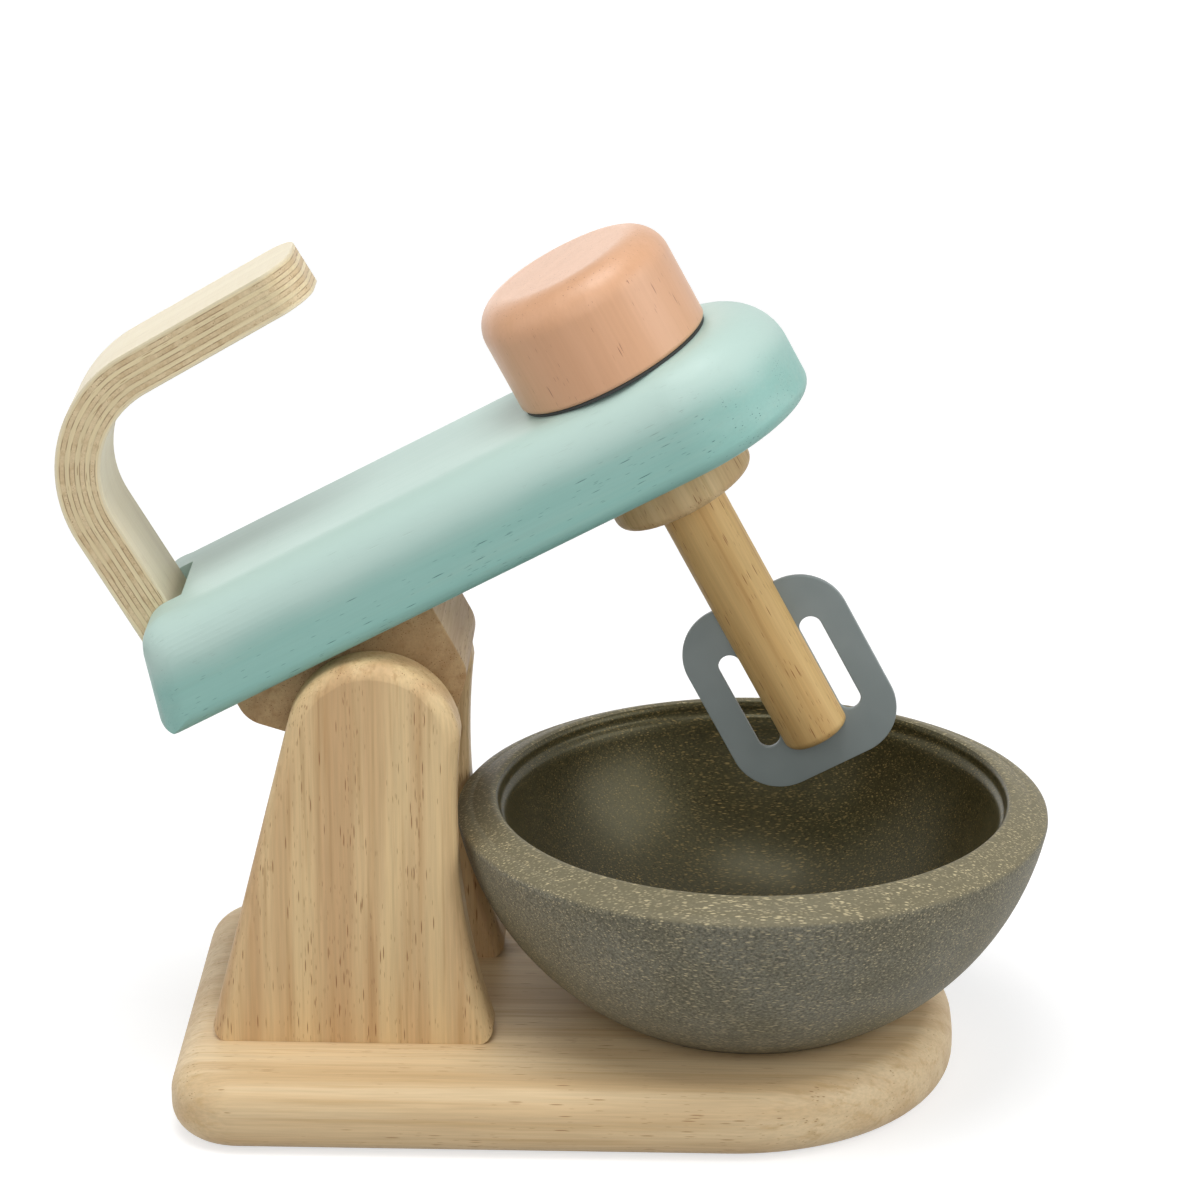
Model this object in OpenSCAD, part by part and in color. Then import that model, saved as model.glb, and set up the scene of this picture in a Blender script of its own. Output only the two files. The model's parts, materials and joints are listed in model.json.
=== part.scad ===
// Wooden toy stand mixer. Millimetres. X runs from the rear to the front, Y across, Z up.
// The origin is the centre of the base board's underside. The head rests tilted up by rest_tilt.

/* [Base] */
// Length of the base board, rear to front
base_length = 200; // [185:1:230]
// Width of the base board
base_width = 124; // [112:1:150]
// Thickness of the base board
base_thick = 19; // [17:0.5:24]
// Radius of the rounded edge all round the board
base_edge_r = 8; // [3:0.5:8]
// Plan radius of the two rear corners
rear_corner_r = 18; // [12:1:30]
// Plan radius of the two front corners
front_corner_r = 58; // [40:1:60]

/* [Posts] */
// Thickness of each side post
post_thick = 15; // [12:0.5:18]
// Clear gap between the two posts
post_gap = 38.6; // [32:0.2:46]
// Radius of each post's round top
post_top_r = 22; // [18:0.5:23]
// Height of the pivot above the base board
pivot_height = 81; // [76:1:95]
// Distance of the pivot from the base board's rear end
pivot_setback = 51.7; // [46:0.1:60]
// Length of the post's foot behind the pivot
foot_back = 43.2; // [36:0.2:46]
// Length of the post's foot ahead of the pivot, before its corner is rounded
foot_front = 30.9; // [28:0.1:34]
// Radius of the hollow front flank
waist_r = 190; // [150:5:260]
// Depth by which the hollow runs into the round top, so that both meet in a soft line
waist_lap = 0.4; // [0.3:0.1:1]
// Radius of the softened edges of the posts
post_edge_r = 4.5; // [1:0.5:5]
// Radius of the two lower corners of each post
foot_corner_r = 3.5; // [1:0.5:5]

/* [Rocker] */
// Height of the rocker's top face above the pivot
rocker_rise = 24; // [23.5:0.5:28]
// Length of the rocker behind the pivot
rocker_back = 28.5; // [26:0.5:34]
// Length of the rocker ahead of the pivot
rocker_front = 28; // [26:0.5:34]
// Depth of the rocker's flat underside below the pivot
rocker_drop = 13; // [11:0.5:15]
// Height of the rocker's rear end above its 45 degree cut
rear_end_height = 7.5; // [7:0.5:12]
// Height of the rocker's front end above its 45 degree cut
front_end_height = 21.7; // [18:0.1:24]
// Radius of the top corners of the rocker
rocker_corner_r = 3; // [1:0.5:3]
// Radius where the 45 degree cuts meet the ends
cut_corner_r = 8.5; // [4:0.5:9]
// Diameter of the pivot axle
axle_d = 8; // [6:0.5:10]
// Depth of the axle and stop dowel in each post
axle_sink = 9; // [6:0.5:11]
// Diameter of the stop dowel
stop_d = 8; // [6:0.5:9]
// Distance of the stop dowel ahead of the pivot
stop_ahead = 6; // [4:0.5:8]
// Diameter of the dome-ended rocker peg
peg_d = 6.3; // [5:0.1:8]
// Height of the rocker peg above the rocker
peg_rise = 6.2; // [5:0.1:8]
// Depth of the rocker peg in the rocker
peg_sink = 9; // [6:0.5:12]
// Distance of the rocker peg ahead of the pivot
peg_ahead = 10.3; // [8:0.1:14]
// Diameter of the head's locating dowel
locator_d = 9; // [7:0.1:10]
// Length of the locating dowel below the head
locator_drop = 10; // [7:0.5:12]
// Depth of the locating dowel in the head
locator_sink = 13; // [8:0.5:18]
// Distance of the locating dowel behind the pivot
locator_behind = 14.2; // [12:0.1:18]
// Wall of the nylon sockets for the pegs
socket_wall = 2.2; // [1.5:0.1:3]

/* [Head] */
// Tilt of the head at rest, from level
rest_tilt = 28; // [27:1:40]
// Width of the head
head_width = 62; // [58:1:72]
// Thickness of the head
head_thick = 28; // [25:0.5:34]
// Radius of the head's upper edges
head_top_r = 14; // [8:0.5:15]
// Radius of the head's lower edges
head_bottom_r = 4; // [2:0.5:6]
// Distance of the hub axis ahead of the pivot
hub_reach = 95.3; // [92:0.1:105]
// Length of the head behind the hub axis, along its underside
head_back = 143; // [140:0.5:150]
// Length of the head ahead of the hub axis
head_front = 41; // [38:0.5:50]
// Forward lean of the head's rear face
rear_lean = 16; // [8:1:20]
// Radius of the head's rear vertical corners
rear_plan_r = 9; // [5:0.5:12]
// Radius of the head's rear upper and lower edges
rear_edge_r = 5; // [3:0.5:6]

/* [Handle] */
// Thickness of the bent plywood
handle_thick = 11.5; // [9:0.5:13]
// Width of the handle
handle_width = 25; // [20:0.5:28]
// Height of the grip's upper face above the head
handle_height = 60; // [52:0.5:70]
// Length of the handle, from the leg's rear face to the grip's end
handle_length = 84.5; // [76:0.5:95]
// Outer radius of the bend
bend_r = 36; // [28:0.5:40]
// Rearward lean of the leg
handle_lean = 2.5; // [0:0.5:4]
// Distance of the leg's rear face ahead of the rear end of the head's underside
leg_inset = 4; // [3:0.5:7]
// Plan radius of the grip's end corners
grip_end_r = 9; // [4:0.5:9.5]
// Thickness of the head left below the notch
notch_floor = 9; // [7:0.5:12]
// Open gap of the notch in front of the leg
notch_gap = 4; // [2:0.5:5]

/* [Knob, spindle and hub] */
// Diameter of the knob
knob_d = 51.5; // [44:0.5:56]
// Height of the knob
knob_height = 28.5; // [24:0.5:34]
// Radius of the knob's upper edge
knob_top_r = 9; // [5:0.5:12]
// Radius of the knob's lower edge
knob_bottom_r = 1.2; // [0.5:0.1:3]
// Depth of the spindle in the knob
knob_socket = 14; // [10:0.5:18]
// Diameter of the spindle
spindle_d = 20; // [18.5:0.5:24]
// Depth of the spindle in the hub
hub_seat = 4; // [3:0.5:6]
// Thickness of the two washers
washer_thick = 0.8; // [0.5:0.1:1.5]
// Width by which the knob's washer stays inside the knob
knob_washer_inset = 0.7; // [0.5:0.1:8]
// Width by which the hub's washer stays inside the hub
hub_washer_inset = 3; // [1:0.5:5]
// Diameter of the hub
hub_d = 38; // [34:0.5:44]
// Radius of the hub's lower edge
hub_edge_r = 3; // [1:0.5:5]

/* [Beater] */
// Diameter of the beater's dowel
beater_d = 17.4; // [15:0.1:18]
// Length of the beater's dowel
beater_length = 79; // [74:0.5:80]
// Depth of the dowel in the hub
beater_sink = 6; // [5:0.5:8]
// Radius of the dowel's ends
beater_end_r = 2.6; // [0.5:0.1:3]
// Diameter of the ball on the beater's peg
ball_d = 6.5; // [5:0.1:7]
// Height of the ball's centre above the dowel
ball_rise = 3.4; // [3:0.1:5]
// Diameter of the ball peg's shank
shank_d = 4.6; // [3:0.1:5]
// Depth of the ball peg in the dowel
shank_sink = 10; // [6:0.5:14]
// Width of the paddle
paddle_width = 45; // [38:0.5:47]
// Length of the paddle
paddle_length = 52; // [44:0.5:54]
// Thickness of the paddle
paddle_thick = 1.6; // [1.2:0.1:2.5]
// Length of the paddle below the dowel
paddle_drop = 9.5; // [6:0.5:10]
// Corner radius of the paddle
paddle_corner_r = 13; // [8:0.5:16]
// Width of the paddle's two slots
slot_width = 5.8; // [4.5:0.1:6.5]
// Length of the paddle's two slots
slot_length = 27.5; // [20:0.5:34]

/* [Bowl] */
// Radius of the bowl's outermost edge
bowl_r = 76.5; // [72:0.5:77]
// Height of the outermost edge above the base board
bowl_edge_height = 52.7; // [48:0.1:53]
// Radius of the curved outer wall
bowl_wall_r = 75.2; // [72:0.2:80]
// Height of that curve's centre above the base board
bowl_wall_z = 66.7; // [62:0.1:70]
// Rise of the rim from its outermost edge inwards
rim_rise = 4.8; // [3:0.1:5]
// Width of the sloping rim
rim_width = 11.2; // [9:0.1:13]
// Width of the small step inside the rim
step_width = 1.6; // [0.8:0.1:3]
// Depth of the small step below the rim
step_depth = 5; // [3:0.5:8]
// Thickness of the bowl's floor
bowl_floor = 8; // [7:0.5:9]
// Radius of the curved inner wall
bowl_inner_r = 53; // [48:0.5:56]

/* [Screws] */
// Diameter of the screws' shanks
screw_d = 4; // [3:0.1:5]
// Length of the screws that hold the posts
post_screw_length = 42; // [34:1:50]
// Length of the screws that hold the handle
handle_screw_length = 28; // [20:1:34]
// Distance between the two screws in one post
post_screw_spacing = 40; // [30:1:50]
// Distance between the two handle screws
handle_screw_spacing = 12; // [9:0.5:15]

/* [Fits] */
// Radial clearance of a dowel, peg or screw that is fixed in its hole
fixed_fit = 0.04; // [0.02:0.01:0.08]
// Radial clearance of a dowel that turns in its hole
turning_fit = 0.06; // [0.03:0.01:0.1]
// Radial clearance of a peg that is pushed in by hand
push_fit = 0.1; // [0.05:0.01:0.2]
// Radial clearance of the locating dowel in the rocker's hole
locator_fit = 0.2; // [0.1:0.05:0.4]
// Clearance between the rocker and each post
side_fit = 0.4; // [0.3:0.05:0.8]
// Gap that is left where the rocker comes to its stop
stop_fit = 0.3; // [0.2:0.05:0.5]
// Room left beyond the end of a peg or dowel in a blind hole
end_room = 1; // [0.5:0.1:2]

/* [Hidden] */
$fn = 96;
// Overrun of cutters past the faces that they cut
over = 1;
// Height by which a soft edge starts above its face, so that it crosses the face cleanly
edge_lap = 0.05;
pivot_x = pivot_setback - base_length / 2;
pivot_z = base_thick + pivot_height;
rocker_width = post_gap - 2 * side_fit;
stop_z = -(rocker_drop + stop_fit + stop_d / 2);
// Heights and places in the head's own frame, which has its origin on the pivot
head_top_z = rocker_rise + head_thick;
head_rear_x = hub_reach - head_back;
nose_x = hub_reach + head_front - head_width / 2;
leg_rear_x = head_rear_x + leg_inset;
leg_depth = head_thick - notch_floor;
hub_top_z = rocker_rise - washer_thick;
hub_height = hub_seat + beater_sink;
spindle_bottom_z = hub_top_z - hub_seat;
knob_bottom_z = head_top_z + washer_thick;
beater_top_z = spindle_bottom_z - push_fit;
beater_end_z = beater_top_z - beater_length;
paddle_bottom_z = beater_end_z - paddle_drop;
// Nylon sockets, each closed at its inner end by one wall
peg_socket_d = peg_d + 2 * (push_fit + socket_wall);
peg_socket_depth = peg_rise + end_room;
ball_socket_d = ball_d + 2 * (push_fit + socket_wall);
ball_socket_depth = ball_rise + ball_d / 2 + end_room;
// Countersunk heads are twice as wide as the shank, with a 90 degree cone
screw_head_d = 2 * screw_d;
screw_head_h = (screw_head_d - screw_d) / 2;
front_plan_r = min(front_corner_r, base_width / 2 - over);
bowl_x = pivot_x + hub_reach;
// Direction from the pivot to where the straight back touches the post's round top
back_angle = 360 + atan2(-pivot_height, -foot_back) - acos(post_top_r / norm([foot_back, pivot_height]));
// Lower corners of a post, from the pivot
heel = [-foot_back, -pivot_height];
toe = [foot_front, -pivot_height];
// Centre of the hollow flank, which runs from the toe into the round top
top_to_waist = post_top_r + waist_r - waist_lap;
waist_along = (pow(top_to_waist, 2) - pow(waist_r, 2) + toe * toe) / (2 * norm(toe));
waist_centre = (waist_along * toe + sqrt(pow(top_to_waist, 2) - pow(waist_along, 2)) * [pivot_height, foot_front])
    / norm(toe);

// Unit vector from one point towards another
function towards(a, b) = (b - a) / norm(b - a);

// Half of the corner angle at p, between its neighbours a and b
function half_angle(a, p, b) = acos(max(-1, min(1, towards(p, a) * towards(p, b)))) / 2;

// The points where a corner circle of radius r touches the two sides at p
function tangent_points(a, p, b, r) =
    let (t = r / tan(half_angle(a, p, b)))
    r == 0 ? [p] : [p + t * towards(p, a), p + t * towards(p, b)];

// Centre of that corner circle
function corner_centre(a, p, b, r) =
    let (way = towards(p, a) + towards(p, b))
    p + way / norm(way) * r / sin(half_angle(a, p, b));

// Convex outline, anticlockwise, whose corners have their own radii
module rounded_outline(points, radii) {
    n = len(points);
    polygon([
        for (i = [0 : n - 1])
            each tangent_points(points[(i + n - 1) % n], points[i], points[(i + 1) % n], radii[i])
    ]);
    for (i = [0 : n - 1])
        if (radii[i] > 0)
            translate(corner_centre(points[(i + n - 1) % n], points[i], points[(i + 1) % n], radii[i]))
                circle(radii[i]);
}

// Cutter that rounds the corner at p, between its neighbours a and b, and reaches as far again outwards
module corner_cutter(a, p, b, r) {
    centre = corner_centre(a, p, b, r);
    touch = tangent_points(a, p, b, r);
    difference() {
        polygon([centre, 2 * touch[0] - centre, 2 * p - centre, 2 * touch[1] - centre]);
        translate(centre) circle(r + edge_lap);
    }
}

// Half section of a turned piece that stands on z = 0, with its two outer edges rounded
module turned_section(radius, height, bottom_r, top_r) {
    rounded_outline([[0, 0], [radius, 0], [radius, height], [0, height]], [0, bottom_r, top_r, 0]);
}

// Half section of a board, from its middle to one rounded edge
module board_section(reach, thick, edge_r) {
    translate([0, -thick / 2]) turned_section(reach, thick, edge_r, edge_r);
}

// Round board with a rounded rim, centred on z = 0
module round_board(radius, thick, edge_r) {
    rotate_extrude() board_section(radius, thick, edge_r);
}

// Straight board from x = 0, with both long edges rounded
module straight_board(length, width, thick, edge_r) {
    rotate([90, 0, 90]) linear_extrude(length)
        for (side = [0, 1]) mirror([side, 0]) board_section(width / 2, thick, edge_r);
}

// Extrudes an outline that is drawn in the XZ plane, centred across Y
module across(width) {
    translate([0, width / 2, 0]) rotate([90, 0, 0]) linear_extrude(width) children();
}

// Cylinder along Y, centred
module cross_bar(length, d) {
    rotate([90, 0, 0]) cylinder(h = length, d = d, center = true);
}

// Places what is drawn about the pivot, level
module at_pivot() {
    translate([pivot_x, 0, pivot_z]) children();
}

// Places what is drawn in the head's frame, at the resting tilt
module tilted() {
    at_pivot() rotate([0, -rest_tilt, 0]) children();
}

// Countersunk wood screw that points up, with its head's face at the origin
module wood_screw(length) {
    tip = screw_d / 4;
    rotate_extrude() polygon([
        [0, 0], [screw_head_d / 2, 0], [screw_d / 2, screw_head_h],
        [screw_d / 2, length - screw_d], [tip / 2, length], [0, length]
    ]);
}

// Hole for that screw, open below
module screw_hole(length) {
    translate([0, 0, -over]) cylinder(h = over, d = screw_head_d + 2 * fixed_fit);
    cylinder(h = screw_head_h, d1 = screw_head_d + 2 * fixed_fit, d2 = screw_d + 2 * fixed_fit);
    cylinder(h = length + end_room, d = screw_d + 2 * fixed_fit);
}

// Base board: four round corners joined by straight boards
module base_board() {
    rear_x = -base_length / 2 + rear_corner_r;
    front_x = base_length / 2 - front_plan_r;
    rear_y = base_width / 2 - rear_corner_r;
    front_y = base_width / 2 - front_plan_r;
    translate([0, 0, base_thick / 2]) {
        for (side = [-1, 1]) {
            translate([rear_x, side * rear_y, 0]) round_board(rear_corner_r, base_thick, base_edge_r);
            translate([front_x, side * front_y, 0]) round_board(front_plan_r, base_thick, base_edge_r);
        }
        translate([rear_x, 0, 0])
            straight_board(front_x - rear_x, base_width, base_thick, base_edge_r);
        translate([rear_x, -rear_y, 0]) rotate([0, 0, 90])
            straight_board(2 * rear_y, 2 * rear_corner_r, base_thick, base_edge_r);
        translate([front_x, -front_y, 0]) rotate([0, 0, 90])
            straight_board(2 * front_y, 2 * front_plan_r, base_thick, base_edge_r);
    }
}

// Places of the screws of both posts, on the board's underside
module post_screw_places() {
    for (side = [-1, 1], along = [-1, 1])
        translate([
            pivot_x + (foot_front - foot_back) / 2 + along * post_screw_spacing / 2,
            side * (post_gap + post_thick) / 2,
            0
        ])
            children();
}

module base_plate() {
    color("burlywood") difference() {
        base_board();
        post_screw_places() screw_hole(post_screw_length);
    }
}

module post_screws() {
    color("silver") post_screw_places() wood_screw(post_screw_length);
}

// Cutter for the hollow front flank, flared at both faces so that the flank's edges stay soft
module waist_cutter() {
    flare_y = post_thick / 2 - post_edge_r + 2 * edge_lap;
    translate([waist_centre.x, 0, waist_centre.y]) rotate([90, 0, 0])
        rotate_extrude($fn = 360) {
            translate([0, -post_thick]) square([waist_r, 2 * post_thick]);
            for (face = [0, 1]) mirror([0, face]) difference() {
                translate([waist_r - over, flare_y]) square([over + post_edge_r, post_edge_r]);
                translate([waist_r + post_edge_r, flare_y]) circle(post_edge_r);
            }
        }
}

// Side post about the pivot: round top, straight slanted back, hollow front, flat foot with round corners
module post_board() {
    reach = 2 * (pivot_height + foot_back);
    shin_z = 2 * foot_corner_r - pivot_height;
    shin_x = waist_centre.x - sqrt(pow(waist_r, 2) - pow(shin_z - waist_centre.y, 2));
    difference() {
        intersection() {
            // The flat board: both faces and the foot
            translate([-reach, -post_thick / 2, -pivot_height]) cube([2 * reach, post_thick, reach]);
            union() {
                // The round top and the slanted back, with their soft edges
                rotate([0, -back_angle, 0]) {
                    rotate([90, 0, 0]) round_board(post_top_r, post_thick + 2 * edge_lap, post_edge_r);
                    translate([-reach, 0, 0]) linear_extrude(reach)
                        board_section(reach + post_top_r, post_thick + 2 * edge_lap, post_edge_r);
                }
                // The shank, below the line from the pivot to the hollow's centre
                rotate([0, -atan2(waist_centre.y, waist_centre.x), 0]) translate([0, -post_thick, -reach])
                    cube([reach, 2 * post_thick, reach]);
            }
        }
        waist_cutter();
        across(post_thick + 2 * over) {
            corner_cutter(post_top_r * [cos(back_angle), sin(back_angle)], heel, toe, foot_corner_r);
            corner_cutter(heel, toe, [shin_x, shin_z], foot_corner_r);
        }
    }
}

// Blind holes for the axle and the stop dowel, across both posts
module axle_holes() {
    at_pivot() {
        cross_bar(post_gap + 2 * (axle_sink + end_room), axle_d + 2 * fixed_fit);
        translate([stop_ahead, 0, stop_z])
            cross_bar(post_gap + 2 * (axle_sink + end_room), stop_d + 2 * fixed_fit);
    }
}

// One post, on the side that is given as -1 or 1
module side_post(side) {
    difference() {
        translate([0, side * (post_gap + post_thick) / 2, 0]) at_pivot() post_board();
        axle_holes();
        post_screw_places() screw_hole(post_screw_length);
    }
}

module right_post() {
    color("wheat") side_post(-1);
}

module left_post() {
    color("wheat") side_post(1);
}

module pivot_axle() {
    color("tan") at_pivot() cross_bar(post_gap + 2 * axle_sink, axle_d);
}

module stop_dowel() {
    color("tan") at_pivot() translate([stop_ahead, 0, stop_z]) cross_bar(post_gap + 2 * axle_sink, stop_d);
}

// Side outline of the rocker about the pivot: two 45 degree cuts below, square ends above
module rocker_outline() {
    rear_cut_z = rocker_rise - rear_end_height;
    front_cut_z = rocker_rise - front_end_height;
    high_z = rocker_rise + 2 * cut_corner_r;
    intersection() {
        rounded_outline(
            [
                [rocker_front, high_z],
                [-rocker_back, high_z],
                [-rocker_back, rear_cut_z],
                [rear_cut_z - rocker_back + rocker_drop, -rocker_drop],
                [rocker_front - front_cut_z - rocker_drop, -rocker_drop],
                [rocker_front, front_cut_z]
            ],
            [0, 0, cut_corner_r, 0, 0, cut_corner_r]
        );
        rounded_outline(
            [
                [rocker_front, rocker_rise],
                [-rocker_back, rocker_rise],
                [-rocker_back, -rocker_drop - over],
                [rocker_front, -rocker_drop - over]
            ],
            [rocker_corner_r, rocker_corner_r, 0, 0]
        );
    }
}

module rocker_block() {
    color("burlywood") tilted() difference() {
        across(rocker_width) rocker_outline();
        cross_bar(rocker_width + 2 * over, axle_d + 2 * turning_fit);
        translate([peg_ahead, 0, rocker_rise - peg_sink])
            cylinder(h = peg_sink + over, d = peg_d + 2 * fixed_fit);
        translate([-locator_behind, 0, rocker_rise - locator_drop - end_room])
            cylinder(h = locator_drop + end_room + over, d = locator_d + 2 * locator_fit);
    }
}

module rocker_peg() {
    color("ghostwhite") tilted() translate([peg_ahead, 0, rocker_rise]) {
        translate([0, 0, -peg_sink]) cylinder(h = peg_sink + peg_rise - peg_d / 2, d = peg_d);
        translate([0, 0, peg_rise - peg_d / 2]) sphere(d = peg_d);
    }
}

// Head without its holes: a straight bar with a round nose, cut to its leaning rear end
module head_bar() {
    side_r = [head_bottom_r, head_bottom_r, head_top_r, head_top_r];
    far_x = nose_x + head_width;
    translate([0, 0, rocker_rise]) intersection() {
        union() {
            translate([head_rear_x - over, 0, 0]) rotate([90, 0, 90])
                linear_extrude(nose_x - head_rear_x + over) rounded_outline(
                    [
                        [-head_width / 2, 0], [head_width / 2, 0],
                        [head_width / 2, head_thick], [-head_width / 2, head_thick]
                    ],
                    side_r
                );
            translate([nose_x, 0, 0]) rotate_extrude()
                turned_section(head_width / 2, head_thick, head_bottom_r, head_top_r);
        }
        // Rear end from the side: leaning face, soft upper and lower edge
        across(head_width + 2 * over) rounded_outline(
            [
                [head_rear_x, 0], [far_x, 0],
                [far_x, head_thick], [head_rear_x + head_thick * tan(rear_lean), head_thick]
            ],
            [rear_edge_r, 0, 0, rear_edge_r]
        );
        // Rear end from above, along the leaning face: two round corners
        translate([head_rear_x, 0, 0]) rotate([0, rear_lean, 0]) translate([0, 0, -far_x])
            linear_extrude(3 * far_x) rounded_outline(
                [
                    [0, -head_width / 2], [2 * far_x, -head_width / 2],
                    [2 * far_x, head_width / 2], [0, head_width / 2]
                ],
                [rear_plan_r, 0, 0, rear_plan_r]
            );
    }
}

// Places what is drawn about the foot of the handle's rear face, at the leg's lean
module at_handle() {
    translate([leg_rear_x, 0, head_top_z]) rotate([0, -handle_lean, 0]) children();
}

// Places of the handle's screws, on the head's underside
module handle_screw_places() {
    for (side = [-1, 1])
        translate([
            leg_rear_x + handle_thick / 2 + leg_depth * sin(handle_lean),
            side * handle_screw_spacing / 2,
            rocker_rise
        ])
            children();
}

// Notch for the handle's leg, open to the rear and above
module handle_notch() {
    at_handle() translate([-head_thick, -handle_width / 2 - push_fit, -leg_depth])
        cube([
            head_thick + handle_thick + notch_gap,
            handle_width + 2 * push_fit,
            head_thick + leg_depth
        ]);
}

module head_body() {
    color("paleturquoise") tilted() difference() {
        head_bar();
        handle_notch();
        handle_screw_places() screw_hole(handle_screw_length);
        translate([hub_reach, 0, rocker_rise - over])
            cylinder(h = head_thick + 2 * over, d = spindle_d + 2 * turning_fit);
        translate([-locator_behind, 0, rocker_rise - over])
            cylinder(h = locator_sink + over, d = locator_d + 2 * fixed_fit);
        translate([peg_ahead, 0, rocker_rise - over])
            cylinder(h = peg_socket_depth + socket_wall + over, d = peg_socket_d + 2 * fixed_fit);
    }
}

module head_dowel() {
    color("tan") tilted() translate([-locator_behind, 0, rocker_rise - locator_drop])
        rotate_extrude() turned_section(locator_d / 2, locator_drop + locator_sink, locator_d / 6, 0);
}

module head_socket() {
    color("ghostwhite") tilted() translate([peg_ahead, 0, rocker_rise]) difference() {
        cylinder(h = peg_socket_depth + socket_wall, d = peg_socket_d);
        translate([0, 0, -over]) cylinder(h = peg_socket_depth + over, d = peg_d + 2 * push_fit);
    }
}

// Side outline of the handle: leg, bend and grip of one thickness
module handle_outline() {
    translate([0, -leg_depth]) square([handle_thick, leg_depth + handle_height - bend_r]);
    translate([bend_r, handle_height - bend_r]) intersection() {
        difference() {
            circle(bend_r);
            circle(bend_r - handle_thick);
        }
        translate([-bend_r, 0]) square(bend_r);
    }
    translate([bend_r, handle_height - handle_thick]) square([handle_length - bend_r, handle_thick]);
}

module handle() {
    color("moccasin") tilted() difference() {
        at_handle() intersection() {
            across(handle_width) handle_outline();
            translate([0, 0, -leg_depth - over]) linear_extrude(leg_depth + handle_height + 2 * over)
                rounded_outline(
                    [
                        [-over, -handle_width / 2], [handle_length, -handle_width / 2],
                        [handle_length, handle_width / 2], [-over, handle_width / 2]
                    ],
                    [0, grip_end_r, grip_end_r, 0]
                );
        }
        handle_screw_places() screw_hole(handle_screw_length);
    }
}

module handle_screws() {
    color("silver") tilted() handle_screw_places() wood_screw(handle_screw_length);
}

// Washer round the spindle
module washer(d) {
    difference() {
        cylinder(h = washer_thick, d = d);
        translate([0, 0, -over]) cylinder(h = washer_thick + 2 * over, d = spindle_d + 2 * turning_fit);
    }
}

module knob_washer() {
    color("dimgray") tilted() translate([hub_reach, 0, head_top_z]) washer(knob_d - 2 * knob_washer_inset);
}

module hub_washer() {
    color("dimgray") tilted() translate([hub_reach, 0, hub_top_z]) washer(hub_d - 2 * hub_washer_inset);
}

module knob() {
    color("lightsalmon") tilted() translate([hub_reach, 0, knob_bottom_z]) difference() {
        rotate_extrude() turned_section(knob_d / 2, knob_height, knob_bottom_r, knob_top_r);
        translate([0, 0, -over]) cylinder(h = knob_socket + over, d = spindle_d + 2 * fixed_fit);
    }
}

module spindle() {
    color("tan") tilted() translate([hub_reach, 0, spindle_bottom_z]) difference() {
        cylinder(h = knob_bottom_z + knob_socket - spindle_bottom_z, d = spindle_d);
        translate([0, 0, -over])
            cylinder(h = ball_socket_depth + socket_wall + over, d = ball_socket_d + 2 * fixed_fit);
    }
}

module hub() {
    color("burlywood") tilted() translate([hub_reach, 0, hub_top_z - hub_height]) difference() {
        rotate_extrude() turned_section(hub_d / 2, hub_height, hub_edge_r, 0);
        translate([0, 0, -over]) cylinder(h = hub_height, d = beater_d + 2 * push_fit);
        translate([0, 0, beater_sink]) cylinder(h = hub_seat + over, d = spindle_d + 2 * fixed_fit);
    }
}

module hub_socket() {
    color("ghostwhite") tilted() translate([hub_reach, 0, spindle_bottom_z]) difference() {
        cylinder(h = ball_socket_depth + socket_wall, d = ball_socket_d);
        translate([0, 0, -over]) cylinder(h = ball_socket_depth + over, d = ball_d + 2 * push_fit);
    }
}

module beater_shaft() {
    slit = paddle_thick + 2 * fixed_fit;
    color("burlywood") tilted() translate([hub_reach, 0, beater_end_z]) difference() {
        rotate_extrude() turned_section(beater_d / 2, beater_length, beater_end_r, beater_end_r);
        translate([-beater_d, -slit / 2, -over])
            cube([2 * beater_d, slit, paddle_length - paddle_drop + fixed_fit + over]);
        translate([0, 0, beater_length - shank_sink])
            cylinder(h = shank_sink + over, d = shank_d + 2 * fixed_fit);
    }
}

module beater_peg() {
    color("ghostwhite") tilted() translate([hub_reach, 0, beater_top_z]) {
        translate([0, 0, -shank_sink]) cylinder(h = shank_sink + ball_rise, d = shank_d);
        translate([0, 0, ball_rise]) sphere(d = ball_d);
    }
}

// Long slot along Z with round ends, centred
module slot_outline() {
    straight = slot_length - slot_width;
    square([slot_width, straight], center = true);
    for (end = [-1, 1]) translate([0, end * straight / 2]) circle(d = slot_width);
}

module beater_paddle() {
    half = paddle_width / 2;
    color("slategray") tilted() translate([hub_reach, 0, paddle_bottom_z]) across(paddle_thick) difference() {
        rounded_outline(
            [[-half, 0], [half, 0], [half, paddle_length], [-half, paddle_length]],
            [for (corner = [1 : 4]) paddle_corner_r]
        );
        for (side = [-1, 1])
            translate([side * (beater_d + slot_width) / 2, paddle_length / 2]) slot_outline();
    }
}

// Half section of the bowl on its foot: curved wall, sloping rim, small step inside the rim
module bowl_section() {
    rim_z = bowl_edge_height + rim_rise;
    mouth_r = bowl_r - rim_width;
    step_z = rim_z - step_depth;
    wall_x = bowl_r - sqrt(pow(bowl_wall_r, 2) - pow(bowl_wall_z - bowl_edge_height, 2));
    inner_z = bowl_floor + bowl_inner_r;
    inner_x = mouth_r - step_width - sqrt(pow(bowl_inner_r, 2) - pow(inner_z - step_z, 2));
    difference() {
        intersection() {
            translate([wall_x, bowl_wall_z]) circle(bowl_wall_r, $fn = 180);
            polygon([
                [0, 0], [bowl_r + rim_width, 0],
                [bowl_r + rim_width, bowl_edge_height - rim_rise],
                [mouth_r - rim_width, rim_z + rim_rise], [0, rim_z + rim_rise]
            ]);
        }
        translate([-over, step_z]) square([mouth_r + over, step_depth + rim_rise + over]);
        intersection() {
            union() {
                translate([inner_x, inner_z]) circle(bowl_inner_r, $fn = 180);
                translate([-over, 0]) square([inner_x + over, rim_z]);
            }
            translate([-over, bowl_floor]) square([bowl_r, step_z - bowl_floor + over]);
        }
    }
}

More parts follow.
